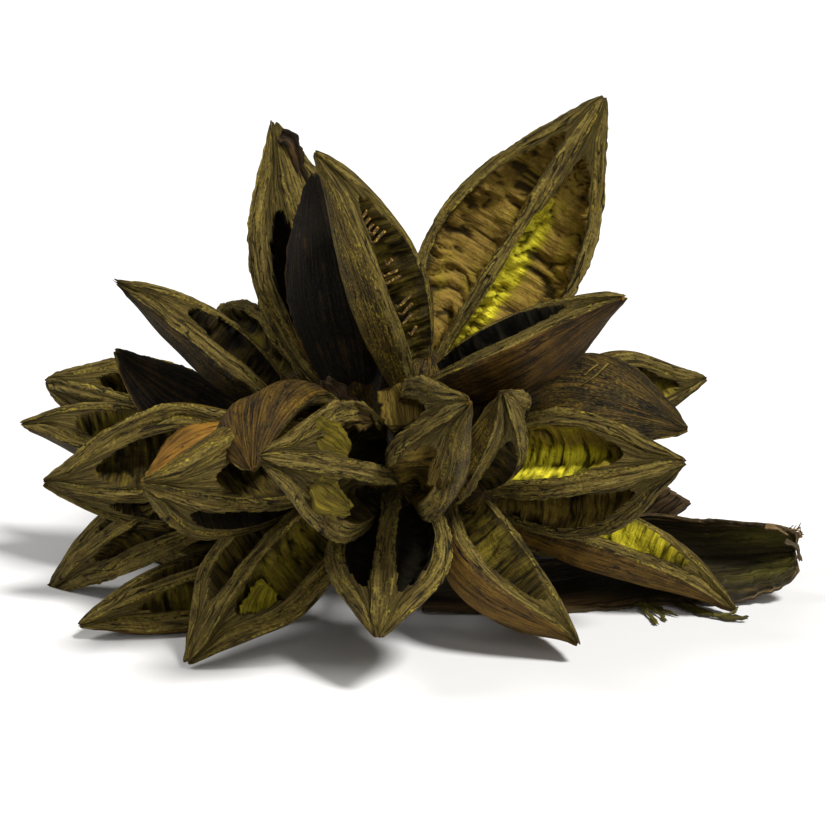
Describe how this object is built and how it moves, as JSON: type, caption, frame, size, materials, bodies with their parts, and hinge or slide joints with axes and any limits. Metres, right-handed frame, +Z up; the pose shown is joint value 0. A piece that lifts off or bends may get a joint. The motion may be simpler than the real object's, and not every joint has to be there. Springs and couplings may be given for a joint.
{
  "type": "star pod",
  "caption": "Dried seed head of split woody capsules, whose boat-shaped valves spread like stars round a short axis, with a dry sheath beside it.",
  "frame": {"origin": "middle of the object's bounding box in X and Y, on the surface that it lies on", "axes": "+Z up, +X to the right in the picture, where the sheath points, and -Y towards the viewer"},
  "size_m": [0.2253, 0.1961, 0.1438],
  "materials": {
    "dried_capsule": "dry fibrous rind, grey-olive with brown husk and yellow-green lining, matte",
    "woody_axis": "rough dark brown wood, matte",
    "dry_sheath": "dark olive-brown dry leaf sheath, smooth inside, slightly satin",
    "ribbed_bract": "dark brown ribbed bract, matte"
  },
  "bodies": {
    "root": {"capsule_crown": "dried_capsule", "capsule_upper_left": "dried_capsule", "capsule_shoulder": "dried_capsule", "capsule_left_back": "dried_capsule", "capsule_left": "dried_capsule", "capsule_left_front": "dried_capsule", "capsule_left_low": "dried_capsule", "capsule_front": "dried_capsule", "capsule_right_front": "dried_capsule", "capsule_right_back": "dried_capsule", "capsule_right_low": "dried_capsule", "capsule_back": "dried_capsule", "axis": "woody_axis", "sheath": "dry_sheath", "ribbed_bract": "ribbed_bract"}
  },
  "joints": []
}
